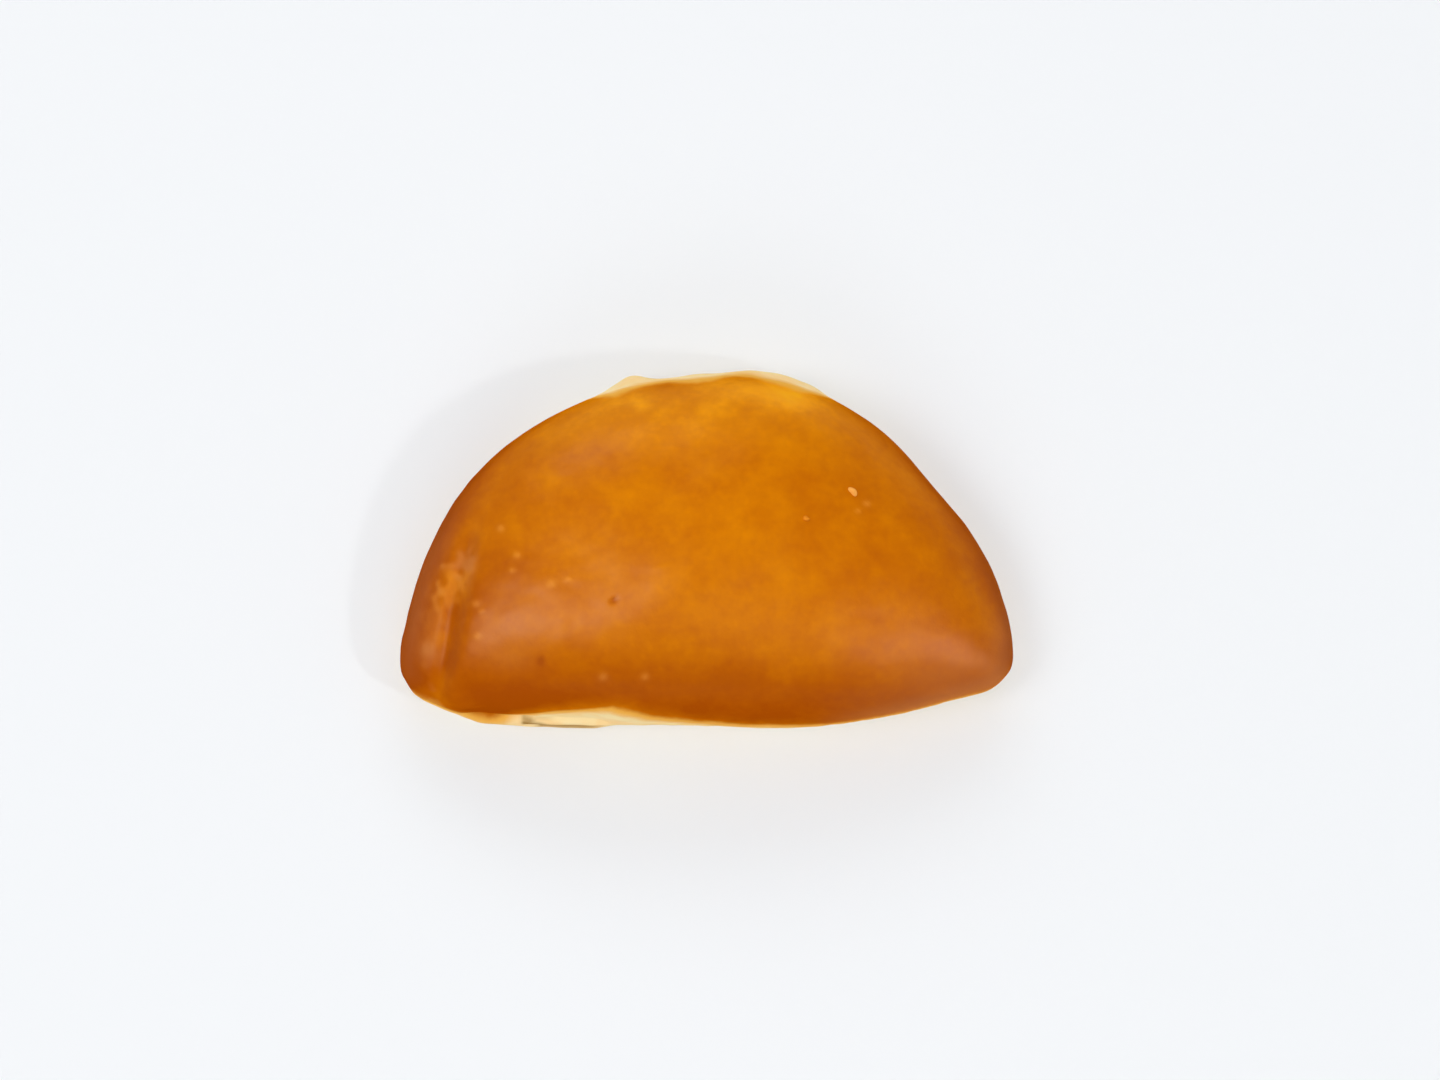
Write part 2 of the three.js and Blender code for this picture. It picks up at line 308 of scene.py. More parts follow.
# marks on the crust, each at the pixel where the photograph shows it: half sizes across and along in mm,
# turn in degrees, height in mm; toast darkens, the tan of dry flakes, also used as painted sheen, is blended
# in, and dry takes the glaze away; ragged ones have torn edges
marks = dict(
    dent=dict(at=(862, 617), half=(3.6, 1.2), turn=-6, up=-0.08, toast=0.06),
    shade=dict(at=(806, 515), half=(3.4, 11.0), up=-0.06, toast=0.07),
    crease=dict(at=(665, 567), half=(2.3, 0.5), turn=8, up=0.06, toast=-0.10),
    pitMiddle=dict(at=(614, 600), half=(0.75, 0.75), up=-0.25, toast=0.45),
    pitFront=dict(at=(541, 661), half=(0.75, 0.95), up=-0.25, toast=0.45),
    paleSpotLeft=dict(at=(557, 480), half=(2.4, 1.5), toast=-0.12),
    yellowBack=dict(at=(787, 393), half=(6.2, 4.4), turn=-24, toast=-0.22),
    brownBack=dict(at=(744, 407), half=(2.4, 1.2), toast=0.10),
    brownEdge=dict(at=(667, 388), half=(5.5, 1.7), turn=8, toast=0.20),
    paleSpotBack=dict(at=(639, 405), half=(1.3, 1.3), toast=-0.14),
    paleSpotCrown=dict(at=(707, 411), half=(2.0, 1.4), toast=-0.08),
    paleSpotEnd=dict(at=(473, 529), half=(2.0, 1.8), toast=-0.13),
    tanBack=dict(at=(645, 420), half=(8.0, 3.5), toast=0.07),
    tanRight=dict(at=(925, 640), half=(13.0, 7.0), toast=0.05),
    tanLeft=dict(at=(540, 602), half=(12.0, 9.5), toast=0.14),
    goldLeftUp=dict(at=(484, 522), half=(5.5, 7.0), turn=-20, toast=-0.09),
    # painted sheen low on the front's right corner
    paintedSheenCorner=dict(at=(950, 672), half=(10.0, 3.2), turn=8, flakeAndSheen=0.24),
    tanEnd=dict(at=(1001, 642), half=(3.0, 6.5), turn=-10, toast=-0.08, flakeAndSheen=0.25),
    goldEnd=dict(at=(987, 616), half=(3.0, 5.0), turn=12, toast=-0.13),
    shadeEnd=dict(at=(963, 638), half=(4.5, 4.5), toast=0.14),
    tanRim=dict(at=(946, 542), half=(2.6, 7.0), turn=32, toast=0.10),
    tanRightUp=dict(at=(912, 584), half=(10.0, 6.5), toast=0.05),
    goldRightUp=dict(at=(888, 505), half=(7.0, 4.5), turn=40, toast=-0.06),
    tanMiddle=dict(at=(770, 610), half=(14.0, 7.0), toast=0.04),
    goldLeft=dict(at=(482, 662), half=(9.0, 5.0), toast=-0.13),
    # painted sheen low on the front's left side
    paintedSheenLow=dict(at=(510, 657), half=(6.0, 3.0), flakeAndSheen=0.16),
    goldRight=dict(at=(885, 680), half=(14.0, 6.0), toast=-0.09),
    ridge=dict(at=(434, 630), half=(2.3, 8.5), turn=-5, up=0.04, toast=-0.06, flakeAndSheen=0.20, dry=0.6,
               ragged=0.3),
    # painted highlight along the ridge's edge and a painted bright spot below it
    ridgeEdgeHighlight=dict(at=(442, 607), half=(1.0, 4.2), turn=-5, up=0.05, toast=-0.14, flakeAndSheen=0.10, dry=0.8),
    ridgeLowHighlight=dict(at=(439, 640), half=(1.5, 2.4), turn=-20, toast=-0.15, dry=0.8),
    grooveShade=dict(at=(455, 618), half=(2.1, 8.0), turn=-6, up=-0.06, toast=0.10, dry=0.5),
    # painted shade on the groove's right side, widening the groove's painted shade above
    grooveEdgeShade=dict(at=(474, 614), half=(1.8, 6.5), turn=-4, toast=0.13),
    shadeFlake=dict(at=(483, 586), half=(2.2, 3.2), toast=0.11),
    glint=dict(at=(427, 650), half=(1.8, 2.2), turn=-10, up=0.05, flakeAndSheen=0.45, dry=0.5),
    smudgeCorner=dict(at=(421, 679), half=(1.4, 1.2), toast=0.20),
    goldCorner=dict(at=(440, 682), half=(4.4, 3.0), turn=-18, toast=-0.45),
    goldEdge=dict(at=(468, 706), half=(9.0, 2.2), turn=-18, toast=-0.30, dry=0.5),
    flakeTop=dict(at=(464, 563), half=(2.6, 2.0), turn=30, up=0.08, toast=-0.06, flakeAndSheen=0.45, dry=0.8,
                  ragged=0.3),
    flakeLong=dict(at=(450, 587), half=(2.4, 4.0), turn=-10, up=0.08, toast=-0.24, flakeAndSheen=0.20, dry=0.8,
                   ragged=0.3),
    flakeThin=dict(at=(467, 576), half=(1.0, 2.8), turn=-25, up=0.10, toast=-0.26, flakeAndSheen=0.25, dry=0.7),
    flakeGold=dict(at=(454, 577), half=(2.2, 2.4), toast=-0.12, dry=0.7),
    flakeLow=dict(at=(460, 596), half=(1.5, 2.2), turn=-20, toast=-0.16, dry=0.4),
    # a little darker, with painted sheen on the left end's rim and pressed edge
    rimLeftSheen=dict(at=(437, 552), half=(2.2, 7.0), turn=-28, toast=0.08, flakeAndSheen=0.15),
    flangeSheen=dict(at=(416, 618), half=(1.8, 9.0), turn=-10, toast=0.08, flakeAndSheen=0.20),
)

# small blisters, lighter than the crust: pixel and half size in mm
blisters = dict(
    places=((475.5, 603.5, 0.75), (516.5, 554.5, 0.65), (512, 570, 0.60), (500, 528, 0.70),
            (551.5, 583.5, 0.90), (567.5, 579.5, 0.55), (603.5, 675.5, 0.85), (645, 676.5, 0.75),
            (867, 503.5, 0.65), (481, 611, 0.50), (477, 636, 0.80), (858, 511, 0.50)),
    change=dict(up=0.08, toast=-0.34, flakeAndSheen=0.32),
)
for number, (u, v, half) in enumerate(blisters["places"]):
    marks["blister%d" % number] = dict(at=(u, v), half=(half, half), **blisters["change"])

# baking: where the crust is brown and how dark, with the slit's painted shade and a painted reflection of the
# table, in mm along the surface from the widest line
bake = dict(
    # where browning starts: at the ends, then x and rise along the front and the back
    lineEnds=-4.5,
    lineFront=((-60, -1.6), (-57, -1.2), (-54, -1.8), (-52, -3.2), (-49, -6.2), (-46, -6.4), (-43, -5.0),
               (-41.3, -3.0), (-38.9, -1.5), (-34.1, 1.0), (-30, 2.7), (-24.4, 4.2), (-20.4, 6.4),
               (-16.3, 6.0), (-12.3, 3.7), (-8.2, 2.3), (-5, 1.1), (-1.8, -0.4), (2.3, -1.0), (15, -1.6),
               (28, -4.0), (60, -4.8)),
    lineBack=((-41, -4.5), (-36, -2.6), (-32, -0.4), (-28.5, 1.8), (-26, 4.6), (-24, 8.5), (-21.6, 10.6),
              (-18.6, 10.0), (-15.4, 9.2), (-9, 7.4), (-5.5, 9.5), (-2.5, 10.5), (1.5, 8.8), (4, 6.4),
              (6, 5.3), (9.8, 6.2), (14.6, 8.4), (19, 9.4), (22.5, 9.8), (25.5, 7.0), (28, 2.8), (31, 0.6),
              (35, -2.0), (41, -4.5)),
    lineWaver=0.22, lineWaverLength=13, lineSeed=21,
    soft=2.0, softBack=1.7,
    softFront=((-60, 2.0), (-48, 1.4), (-43, 1.2), (-37, 0.8), (-24, 0.8), (-18, 1.2), (-5, 1.5), (2, 1.8)),
    # slit's painted shade: x from and to, height from and to, half height, how dark
    gaps=((-39.2, -32.5, 6.8, 5.4, 0.80, 1.0), (-36.0, -19.0, 5.4, 5.2, 0.70, 0.80),
          (-39.2, -35.8, 7.8, 6.8, 0.90, 0.70), (-38.8, -31.5, 7.8, 8.0, 0.50, 0.22)),
    gapSoft=1.2, gapFade=0.45,       # soft start in mm, share of the length over which it fades
    undersideRim=3.0, undersideSoft=2.5, undersideToast=0.55,
    toastMid=0.42,
    front=0.57, frontFrom=8, frontTo=31, frontFadeX=(8, 60, 0.50),
    rim=0.45, rimFrom=4, rimTo=16, rimPaleShare=0.45, rimPaleFrom=3, rimPaleTo=9,
    back=-0.32, backFrom=9, backTo=34,
    # painted reflection of the table low on the front's right end: how strong, x over which it comes in, rise
    # up to which it lasts
    tableReflection=0.6, tableReflectionX=(18, 46), tableReflectionTo=9,
    nearLine=-0.55, nearLineTo=8,
    left=0.20, leftFrom=-54, leftTo=-26,
    right=0.09, rightFrom=12, rightTo=45,
    glazeFrom=4, glazeTo=16, glazeFrontFrom=10, glazeFrontTo=26, glazeFrontFadeX=(15, 48),
    glazeBackFrom=8, glazeBackTo=22, glazeEndsFrom=0, glazeEndsTo=6, glazeRightX=(22, 46),
)

# relief along the surface's normal, mm: wavelength, height and seed of each size of unevenness
relief = dict(
    lumps=((34, 0.16, 11), (15, 0.050, 12), (6.5, 0.022, 13), (3.2, 0.010, 14)),
    lumpsFrom=3, lumpsTo=14, lumpsLeast=0.2,         # they fade towards the outline
    pleat=0.22, pleatLength=7, pleatSeed=31, pleatSquash=(1, 1, 6), pleatZ=6, pleatHalfZ=5,
    skin=0.045, skinLength=3.2, skinSeed=32, skinSquash=(1.5, 1.5, 0.5), skinFade=(-1, 1),
    raggedLength=2.6, raggedSeed=41, raggedFrom=0.35, raggedTo=1.45,
    marksTo=3, footSoft=1.5,                         # marks fade at the outline, all relief at the foot
)


# a value of each column for every row: itself up to the widest line, blurred around as the rings shrink above
def overDome(value):
    share, lift = domeSteps(dough)
    dome = rings(value + 0j, share, dough["wavesKept"]).real
    return np.concatenate([np.repeat(value[None], widestRow + 1, 0), dome])


# one mark's shape, 1 in its middle: a bell, or with torn edges where its radius is moved by ripples
def markShape(u, v, m, ragged, r):
    turn = math.radians(m.get("turn", 0))
    right, up = (u - m["at"][0]) / photoView["pixelsPerMm"], (m["at"][1] - v) / photoView["pixelsPerMm"]
    across = (right * math.cos(turn) + up * math.sin(turn)) / m["half"][0]
    along = (up * math.cos(turn) - right * math.sin(turn)) / m["half"][1]
    radius = across * across + along * along
    if "ragged" in m:
        return 1 - ease(np.sqrt(radius) + m["ragged"] * ragged, r["raggedFrom"], r["raggedTo"])
    return np.exp(-radius)


# toast: darker at the front, round the rim and at the ends, lighter at the back and close to the front line
def toastShade(x, y, rise, line, front, window, edgeX, b):
    fadeStart, fadeStop, fadeBy = b["frontFadeX"]
    toast = b["toastMid"] + b["left"] * (1 - ease(x, b["leftFrom"], b["leftTo"]))
    toast += b["right"] * ease(x, b["rightFrom"], b["rightTo"])
    toast += b["back"] * ease(y, b["backFrom"], b["backTo"])
    frontShare = front * (1 - fadeBy * ease(edgeX, fadeStart, fadeStop))
    toast += b["front"] * frontShare * (1 - ease(rise, b["frontFrom"], b["frontTo"]))
    toast += b["nearLine"] * front * (1 - ease(rise - line, 0, b["nearLineTo"]))
    paleRim = (1 - b["rimPaleShare"]) * ease(window, b["rimPaleFrom"], b["rimPaleTo"])
    toast += b["rim"] * (1 - front) * (1 - paleRim) * (1 - ease(rise, b["rimFrom"], b["rimTo"]))
    return toast


# glaze: eases in from the outline, each over its own stretch at the front, the back and the ends
def glazeCover(x, rise, front, back, edgeX, b):
    glaze = ease(rise, b["glazeFrom"], b["glazeTo"])
    dry = front * (1 - ease(edgeX, *b["glazeFrontFadeX"]))
    glaze += (ease(rise, b["glazeFrontFrom"], b["glazeFrontTo"]) - glaze) * dry
    glaze += (ease(rise, b["glazeBackFrom"], b["glazeBackTo"]) - glaze) * back
    ends = (1 - ease(x, b["leftFrom"], b["leftTo"])) * (1 - front) + ease(x, *b["glazeRightX"])
    glaze += (ease(rise, b["glazeEndsFrom"], b["glazeEndsTo"]) - glaze) * ends * (1 - back)
    return glaze


# painted shade in the slit of the lip: the darkest of a few slanting lines, each a bell in height that fades
# out to the right
def slitGap(x, z, b):
    slitShade = np.zeros(x.shape)
    for start, stop, zStart, zStop, half, dark in b["gaps"]:
        middle = zStart + (zStop - zStart) * np.clip((x - start) / (stop - start), 0, 1)
        along = ease(x, start - b["gapSoft"] / 2, start + b["gapSoft"] / 2)
        along = along * (1 - ease(x, stop - b["gapFade"] * (stop - start), stop))
        slitShade = np.maximum(slitShade, dark * along * bell(z, middle, half))
    return slitShade


# unevenness: lumps on top, pleats low on the seam side, skin creases where the dough is pale
def unevenness(grid, rise, front, browning, r):
    up = sum(tall * ripple(grid, wave, seed) for wave, tall, seed in r["lumps"])
    up *= r["lumpsLeast"] + (1 - r["lumpsLeast"]) * ease(rise, r["lumpsFrom"], r["lumpsTo"])
    pleats = ripple(grid, r["pleatLength"], r["pleatSeed"], squash=r["pleatSquash"])
    up += r["pleat"] * (1 - front) * pleats * bell(grid[..., 2], r["pleatZ"], r["pleatHalfZ"])
    creases = ripple(grid, r["skinLength"], r["skinSeed"], squash=r["skinSquash"])
    return up + r["skin"] * (1 - ease(browning, *r["skinFade"])) * creases


# the dough after baking: its grid moved along the normal by the relief, and the values that colour it
def bakedDough(grid, b, r):
    normal = gridNormals(grid)
    x, y, z = np.moveaxis(grid, -1, 0)
    u, v = seenAt(grid, photoView)
    edgeX, rim = x[widestRow], normal[widestRow]
    front, back = facing(rim[:, 1], dough)
    run = np.linalg.norm(np.diff(grid, axis=0), axis=2).cumsum(0)
    rise = np.concatenate([np.zeros((1, x.shape[1])), run])
    rise -= rise[widestRow]

    # brown line of each column, and how far each point lies above it in soft lengths
    window = back * (np.interp(edgeX, *zip(*b["lineBack"])) - b["lineEnds"])
    line = b["lineEnds"] + front * (np.interp(edgeX, *zip(*b["lineFront"])) - b["lineEnds"]) + window
    line += b["lineWaver"] * ripple(grid[widestRow], b["lineWaverLength"], b["lineSeed"])
    softFront = np.interp(edgeX, *zip(*b["softFront"]))
    soft = b["soft"] + (softFront - b["soft"]) * front + (b["softBack"] - b["soft"]) * back
    browning = (rise - line) / soft
    inside = rise[footRow] - rise[:footRow + 1]
    browning[:footRow + 1] = (inside - b["undersideRim"]) / b["undersideSoft"]

    front, back, edgeX, window = (overDome(value) for value in (front, back, edgeX, window))
    toast = toastShade(x, y, rise, line, front, window, edgeX, b)
    glaze = glazeCover(x, rise, front, back, edgeX, b)
    slitShade = front * slitGap(x, z, b)
    # painted reflection of the table low on the front's right end, in the tan of the flakes
    flakeAndSheen = b["tableReflection"] * front * ease(x, *b["tableReflectionX"]) * (1 - ease(rise, 0, b["tableReflectionTo"]))
    up = unevenness(grid, rise, front, browning, r)
    ragged = ripple(grid, r["raggedLength"], r["raggedSeed"])
    onTop = ease(rise, 0, r["marksTo"])
    for m in marks.values():
        shape = markShape(u, v, m, ragged, r) * onTop
        up += m.get("up", 0) * shape
        toast += m.get("toast", 0) * shape
        flakeAndSheen += m.get("flakeAndSheen", 0) * shape
        glaze *= 1 - m.get("dry", 0) * shape
    toast[:footRow + 1] = b["undersideToast"]
    glaze[:footRow + 1] = 0
    up[-1], toast[-1] = up[-1].mean(), toast[-1].mean()
    grid = grid + normal * (up * ease(z, 0, r["footSoft"]))[..., None]
    values = dict(browning=browning, toast=toast, glaze=glaze, slitShade=slitShade, flakeAndSheen=flakeAndSheen)
    return grid, {key: value[None] for key, value in values.items()}


grid, baked = bakedDough(grid, bake, relief)
crust = addObject("crust", closedMesh("crust", grid[None], baked))
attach(crust, "root")
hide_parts("pastry")
print("crust made")

# crumbs that stick to the crust: pixel, length and width in mm, turn in degrees, how pale
crumbs = dict(
    places=((853.5, 491.5, 2.1, 1.5, -52, 0.75), (805, 518.5, 1.4, 1.1, 10, 0.05)),
    rings=7, around=20, thick=0.30, sunk=0.30,
    lowest=-0.5,                     # radians below the crumb's edge at which its dome starts
    wobble=0.15, thirdWobble=0.7, lean=0.25, seed=51,
    rowsAbove=2,                     # rows above the widest line where crumbs may lie
)


# flat crumbs: domes whose radius wobbles with the angle, laid onto the crust along its normal
def crumbGrids(c):
    draw = np.random.default_rng(c["seed"])
    u, v, long, wide, tilt, pale = (value[:, None, None] for value in np.array(c["places"]).T)
    rows = slice(widestRow + c["rowsAbove"], -1)
    top, normal = grid[rows].reshape(-1, 3), gridNormals(grid)[rows].reshape(-1, 3)
    topU, topV = seenAt(top, photoView)
    nearest = ((topU - u[:, 0]) ** 2 + (topV - v[:, 0]) ** 2).argmin(1)
    place, outward = top[nearest], normal[nearest]
    angle = np.linspace(c["lowest"], np.pi / 2, c["rings"])[:, None]
    turn = np.arange(c["around"]) * 2 * np.pi / c["around"]
    phase = draw.uniform(0, 2 * np.pi, (3, *u.shape))
    waves = np.cos(2 * turn + phase[0]) + c["thirdWobble"] * np.cos(3 * turn + phase[1])
    radius = (1 + c["wobble"] * waves) * np.cos(angle) / 2
    along, across = radius * np.cos(turn) * long, radius * np.sin(turn) * wide
    tilt = np.radians(tilt)
    right, up = along * np.cos(tilt) - across * np.sin(tilt), along * np.sin(tilt) + across * np.cos(tilt)
    lift = c["sunk"] + np.sin(angle) + c["lean"] * np.cos(turn + phase[2]) * np.cos(angle)
    lift = lift * c["thick"] * wide
    first = np.cross((0, 1, 0), outward)
    first /= np.linalg.norm(first, axis=1)[:, None]
    second = np.cross(outward, first)
    made = place[:, None, None] + lift[..., None] * outward[:, None, None]
    made = made + right[..., None] * first[:, None, None] + up[..., None] * second[:, None, None]
    return made, np.broadcast_to(pale, made.shape[:3])


crumbGrid, crumbPale = crumbGrids(crumbs)
crumbPiece = addObject("crumbs", closedMesh("crumbs", crumbGrid, dict(pale=crumbPale)))
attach(crumbPiece, "root")
print("crumbs made")


# new node with its sockets set or linked
def addNode(tree, kind, inputs, **settings):
    made = tree.nodes.new(kind)
    for key, value in settings.items():
        setattr(made, key, value)
    for key, value in inputs.items():
        if isinstance(value, bpy.types.NodeSocket):
            tree.links.new(value, made.inputs[key])
        else:
            made.inputs[key].default_value = value
    return made


def maths(tree, operation, first, second):
    return addNode(tree, "ShaderNodeMath", {0: first, 1: second}, operation=operation).outputs[0]


# smooth step of a value between two limits, to two results
def softStep(tree, value, lo, hi, start=0.0, stop=1.0):
    sockets = {"Value": value, "From Min": lo, "From Max": hi, "To Min": start, "To Max": stop}
    return addNode(tree, "ShaderNodeMapRange", sockets, interpolation_type="SMOOTHSTEP").outputs["Result"]


# blend of two colours: sockets 6 and 7 are the Mix node's colours, output 2 its colour
def mixColour(tree, share, first, second):
    return addNode(tree, "ShaderNodeMix", {0: share, 6: first, 7: second}, data_type="RGBA").outputs[2]


noiseMiddle = 0.5                    # noise values lie around this


def noise(tree, place, scale, detail, roughness=0.5):
    sockets = {"Vector": place, "Scale": scale, "Detail": detail, "Roughness": roughness}
    return addNode(tree, "ShaderNodeTexNoise", sockets).outputs["Fac"]


# noise moved to lie around 0, times a spread
def swing(tree, value, spread):
    return maths(tree, "MULTIPLY", maths(tree, "SUBTRACT", value, noiseMiddle), spread)


# new material with its nodes, shader and Object coordinates
def newSkin(name):
    material = bpy.data.materials.new(name)
    material.use_nodes = True
    tree = material.node_tree
    place = tree.nodes.new("ShaderNodeTexCoord").outputs["Object"]
    return material, tree, tree.nodes["Principled BSDF"], place


# baked grain shared by the crust and its crumbs: mottling, and the height of wrinkles and pores
grainLook = dict(
    detail=3.0, roughness=0.6,                       # of the blotches and the wrinkles
    broadShare=0.7, fineTimes=4.3, fineDetail=2.0,   # blotches, and finer ones this many times as small
    poreFrom=0.10, poreTo=0.42, poreHeight=0.35, wrinkleTimes=0.55,
)


def makeGrain(g):
    tree = bpy.data.node_groups.new("bakedGrain", "ShaderNodeTree")
    for name, kind in (("Place", "Vector"), ("Blotches", "Float"), ("Pores", "Float")):
        tree.interface.new_socket(name, in_out="INPUT", socket_type="NodeSocket" + kind)
    for name in ("Mottle", "Height"):
        tree.interface.new_socket(name, in_out="OUTPUT", socket_type="NodeSocketFloat")
    given = tree.nodes.new("NodeGroupInput").outputs
    broad = noise(tree, given["Place"], given["Blotches"], g["detail"], g["roughness"])
    fineScale = maths(tree, "MULTIPLY", given["Blotches"], g["fineTimes"])
    fine = noise(tree, given["Place"], fineScale, g["fineDetail"])
    mottle = maths(tree, "ADD", maths(tree, "MULTIPLY", broad, g["broadShare"]),
                   maths(tree, "MULTIPLY", fine, 1 - g["broadShare"]))
    pores = addNode(tree, "ShaderNodeTexVoronoi", {"Vector": given["Place"], "Scale": given["Pores"]})
    pit = softStep(tree, pores.outputs["Distance"], g["poreFrom"], g["poreTo"])
    wrinkleScale = maths(tree, "MULTIPLY", given["Pores"], g["wrinkleTimes"])
    wrinkle = noise(tree, given["Place"], wrinkleScale, g["detail"], g["roughness"])
    raised = maths(tree, "ADD", maths(tree, "MULTIPLY", pit, g["poreHeight"]), wrinkle)
    addNode(tree, "NodeGroupOutput", {"Mottle": mottle, "Height": raised})
    return tree


grain = makeGrain(grainLook)


def addGrain(tree, place, f):
    sockets = {"Place": place, "Blotches": f["blotches"], "Pores": f["pores"]}
    return addNode(tree, "ShaderNodeGroup", sockets, node_tree=grain).outputs


# relief of the grain on the shader's normal
def addBump(tree, shader, grainOut, f):
    sockets = {"Strength": f["bump"], "Distance": f["bumpDistance"], "Height": grainOut["Height"]}
    bump = addNode(tree, "ShaderNodeBump", sockets)
    tree.links.new(bump.outputs["Normal"], shader.inputs["Normal"])


# crust finish: colours are linear, toast runs from light to dark
crustFinish = dict(
    toast=((-0.25, (0.985, 0.430, 0.005)), (0.0, (0.925, 0.340, 0.003)), (0.25, (0.72, 0.221, 0.001)),
           (0.5, (0.588, 0.151, 0.0006)), (0.75, (0.477, 0.101, 0.0006)), (1.0, (0.397, 0.071, 0.0006))),
    dough=(0.97, 0.68, 0.31), doughPale=(0.97, 0.76, 0.40), golden=(0.88, 0.44, 0.07),
    # the last colour here is the tan of dry flakes, also used for painted sheen and a painted reflection
    slitShade=(0.31, 0.145, 0.018), flakeAndSheen=(0.60, 0.205, 0.055),
    blotches=110.0, pores=950.0, toastSpread=0.75,
    edgeScale=210.0, edgeDetail=3.0, edgeRoughness=0.6, edgeSpread=1.6,
    doughScale=160.0, doughDetail=2.0, doughFrom=0.35, doughTo=0.65,
    goldenFrom=-3.2, goldenTo=0.2, brownFrom=-0.1, brownTo=2.1,
    roughCrust=0.47, roughDough=0.74, roughSpread=0.18,
    coat=0.56, coatSpread=0.9, coatRoughness=0.34, specular=0.0,
    bump=0.22, bumpDistance=0.00022,
)


def makeCrustSkin(f):
    material, tree, shader, place = newSkin("crustSkin")
    value = {}
    for key in ("browning", "toast", "glaze", "slitShade", "flakeAndSheen"):
        value[key] = addNode(tree, "ShaderNodeAttribute", {}, attribute_name=key).outputs["Fac"]
    grainOut = addGrain(tree, place, f)
    # crust colour along the toast ramp, moved by the mottling
    shade = maths(tree, "ADD", value["toast"], swing(tree, grainOut["Mottle"], f["toastSpread"]))
    lightest, darkest = f["toast"][0][0], f["toast"][-1][0]
    shade = maths(tree, "DIVIDE", maths(tree, "SUBTRACT", shade, lightest), darkest - lightest)
    ramp = addNode(tree, "ShaderNodeValToRGB", {0: shade})
    stops = ramp.color_ramp.elements
    for at, colour in f["toast"][1:-1]:
        stops.new((at - lightest) / (darkest - lightest)).color = (*colour, 1)
    stops[0].color, stops[-1].color = (*f["toast"][0][1], 1), (*f["toast"][-1][1], 1)
    # pale dough below the brown line, golden along it
    edgeNoise = noise(tree, place, f["edgeScale"], f["edgeDetail"], f["edgeRoughness"])
    above = maths(tree, "ADD", value["browning"], swing(tree, edgeNoise, f["edgeSpread"]))
    doughNoise = noise(tree, place, f["doughScale"], f["doughDetail"])
    doughTone = softStep(tree, doughNoise, f["doughFrom"], f["doughTo"])
    colour = mixColour(tree, doughTone, (*f["dough"], 1), (*f["doughPale"], 1))
    colour = mixColour(tree, softStep(tree, above, f["goldenFrom"], f["goldenTo"]), colour, (*f["golden"], 1))
    # painted shade in the slit
    colour = mixColour(tree, value["slitShade"], colour, (*f["slitShade"], 1))
    brown = softStep(tree, above, f["brownFrom"], f["brownTo"])
    # tan of dry flakes, also painted sheen and a painted reflection of the table
    top = mixColour(tree, value["flakeAndSheen"], ramp.outputs["Color"], (*f["flakeAndSheen"], 1))
    colour = mixColour(tree, brown, colour, top)
    tree.links.new(colour, shader.inputs["Base Color"])
    rough = softStep(tree, brown, 0.0, 1.0, f["roughDough"], f["roughCrust"])
    rough = maths(tree, "ADD", rough, swing(tree, grainOut["Mottle"], f["roughSpread"]))
    tree.links.new(rough, shader.inputs["Roughness"])
    # egg glaze: a satin coat on the browned top
    coat = maths(tree, "MULTIPLY", maths(tree, "MULTIPLY", value["glaze"], brown), f["coat"])
    patchy = maths(tree, "ADD", swing(tree, grainOut["Mottle"], f["coatSpread"]), 1.0)
    tree.links.new(maths(tree, "MULTIPLY", coat, patchy), shader.inputs["Coat Weight"])
    shader.inputs["Coat Roughness"].default_value = f["coatRoughness"]
    shader.inputs["Specular IOR Level"].default_value = f["specular"]
    addBump(tree, shader, grainOut, f)
    return material


# crumb finish: lighter than the crust, dry
crumbFinish = dict(pale=(0.98, 0.45, 0.10), dark=(0.74, 0.23, 0.012), blotches=700.0, pores=2600.0,
                   spread=0.3, roughness=0.7, specular=0.0, bump=0.4, bumpDistance=0.0001)


def makeCrumbSkin(f):
    material, tree, shader, place = newSkin("crumbSkin")
    grainOut = addGrain(tree, place, f)
    tone = addNode(tree, "ShaderNodeAttribute", {}, attribute_name="pale").outputs["Fac"]
    tone = maths(tree, "ADD", tone, swing(tree, grainOut["Mottle"], f["spread"]))
    tree.links.new(mixColour(tree, tone, (*f["dark"], 1), (*f["pale"], 1)), shader.inputs["Base Color"])
    shader.inputs["Roughness"].default_value = f["roughness"]
    shader.inputs["Specular IOR Level"].default_value = f["specular"]
    addBump(tree, shader, grainOut, f)
    return material


crust.data.materials.append(makeCrustSkin(crustFinish))
crumbPiece.data.materials.append(makeCrumbSkin(crumbFinish))
print("materials made")

# floor, in metres: it glows faintly, which keeps its shadows faint, and more where the lamps don't reach
table = dict(
    half=2.5, colour=(0.605, 0.615, 0.628), specular=0.0,
    glowColour=(0.964, 0.980, 1.0), glowNear=0.28, glowFar=0.60, glowFrom=0.9, glowTo=2.15,
)


def makeFloor(t):
    half = t["half"]
    corners = [(-half, -half, 0), (half, -half, 0), (half, half, 0), (-half, half, 0)]
    mesh = bpy.data.meshes.new("floor")
    mesh.from_pydata(corners, [], [(0, 1, 2, 3)])
    material, tree, shader, place = newSkin("floorSkin")
    shader.inputs["Base Color"].default_value = (*t["colour"], 1)
    shader.inputs["Specular IOR Level"].default_value = t["specular"]
    away = addNode(tree, "ShaderNodeVectorMath", {0: place}, operation="LENGTH").outputs["Value"]
    glow = softStep(tree, away, t["glowFrom"], t["glowTo"], t["glowNear"], t["glowFar"])
    tree.links.new(glow, shader.inputs["Emission Strength"])
    shader.inputs["Emission Color"].default_value = (*t["glowColour"], 1)
    mesh.materials.append(material)
    return addObject("floor", mesh)


floor = makeFloor(table)
floor.visible_glossy = False
print("floor made")

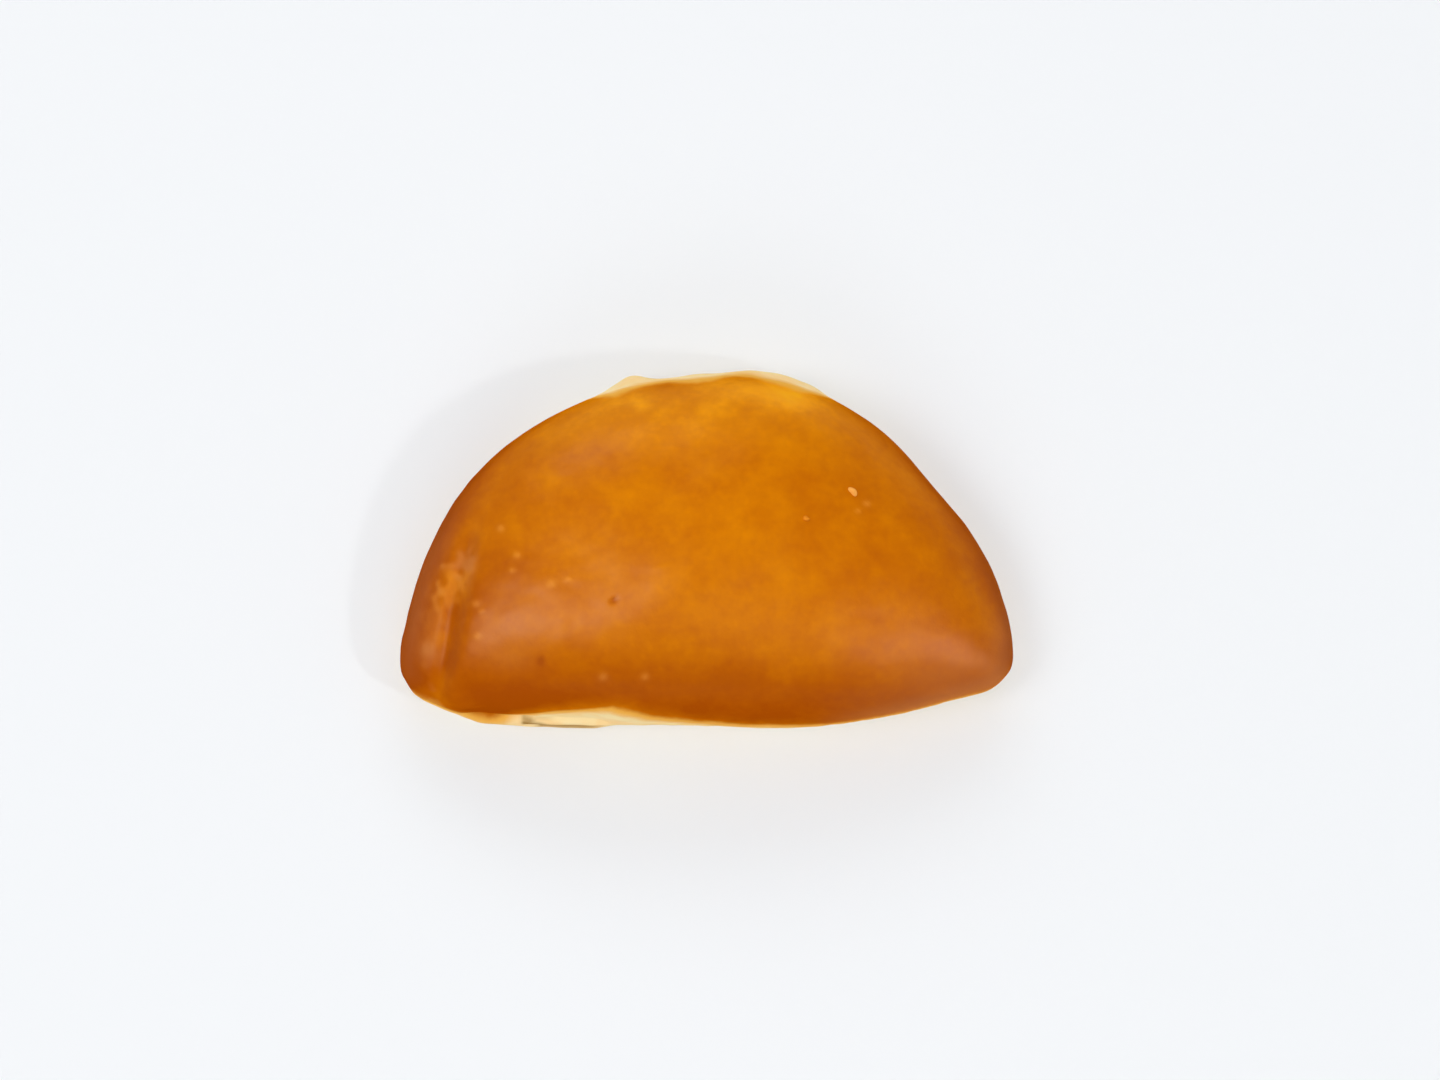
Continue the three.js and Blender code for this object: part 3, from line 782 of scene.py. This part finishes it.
# light: azimuth from the front towards the right, elevation, distance and sizes in metres, watts
lights = dict(
    keyRight=dict(azimuth=58, elevation=44, distance=1.2, wide=0.08, tall=0.10, watts=2.2, mirrored=False),
    sheenRight=dict(azimuth=57, elevation=34, distance=1.2, wide=0.84, tall=0.68, watts=6.6, lights=False),
    sheenMiddle=dict(azimuth=12, elevation=60, distance=1.4, wide=0.90, tall=0.50, watts=0.8, lights=False),
    boxLeft=dict(azimuth=-72, elevation=56, distance=1.4, wide=0.56, tall=0.62, watts=4.6, mirrored=False),
    sheenLeft=dict(azimuth=-72, elevation=53, distance=1.4, wide=0.56, tall=0.78, watts=7.0, lights=False),
    lowBack=dict(azimuth=-156, elevation=28, distance=1.2, wide=0.68, tall=0.34, watts=1.0),
    fillFront=dict(azimuth=-5, elevation=32, distance=1.4, wide=1.0, tall=0.5, watts=3.3, mirrored=False),
    fillBack=dict(azimuth=175, elevation=36, distance=1.4, wide=1.2, tall=0.5, watts=4.2, mirrored=False),
)
sheenColour = (0.96, 1.0, 0.74)      # of the lamps that only show in the glaze
lampAim = 0.015                      # metres above the table


def makeLamp(name, light):
    around, tilt = math.radians(light["azimuth"]), math.radians(light["elevation"])
    toLight = Vector((math.sin(around) * math.cos(tilt), -math.cos(around) * math.cos(tilt), math.sin(tilt)))
    data = bpy.data.lights.new(name, "AREA")
    data.shape, data.size, data.size_y = "ELLIPSE", light["wide"], light["tall"]
    data.energy = light["watts"]
    lamp = addObject(name, data)
    lamp.location = toLight * light["distance"] + Vector((0, 0, lampAim))
    lamp.rotation_euler = toLight.to_track_quat("Z", "Y").to_euler()
    lamp.visible_glossy, lamp.visible_diffuse = light.get("mirrored", True), light.get("lights", True)
    data.cycles.use_multiple_importance_sampling = lamp.visible_glossy
    if not lamp.visible_diffuse:
        data.color = sheenColour


for name, light in lights.items():
    makeLamp(name, light)

# sky: a distant lamp as wide as most of the sky, which lights evenly and isn't mirrored in the glaze
sky = dict(angle=150, strength=1.74, colour=(0.97, 0.985, 1.0), backdrop=(0.90, 0.91, 0.92))


def makeSky(s):
    data = bpy.data.lights.new("sky", "SUN")
    data.angle, data.energy, data.color = math.radians(s["angle"]), s["strength"], s["colour"]
    data.cycles.use_multiple_importance_sampling = False
    addObject("sky", data).visible_glossy = False
    # backdrop beyond the floor, which lights nothing
    room = bpy.data.worlds.new("room")
    room.use_nodes = True
    room.node_tree.nodes["Background"].inputs["Color"].default_value = (*s["backdrop"], 1)
    room.cycles_visibility.glossy = room.cycles_visibility.diffuse = False
    scene.world = room


makeSky(sky)
scene.view_settings.view_transform = "Standard"
print("lamps and sky made")
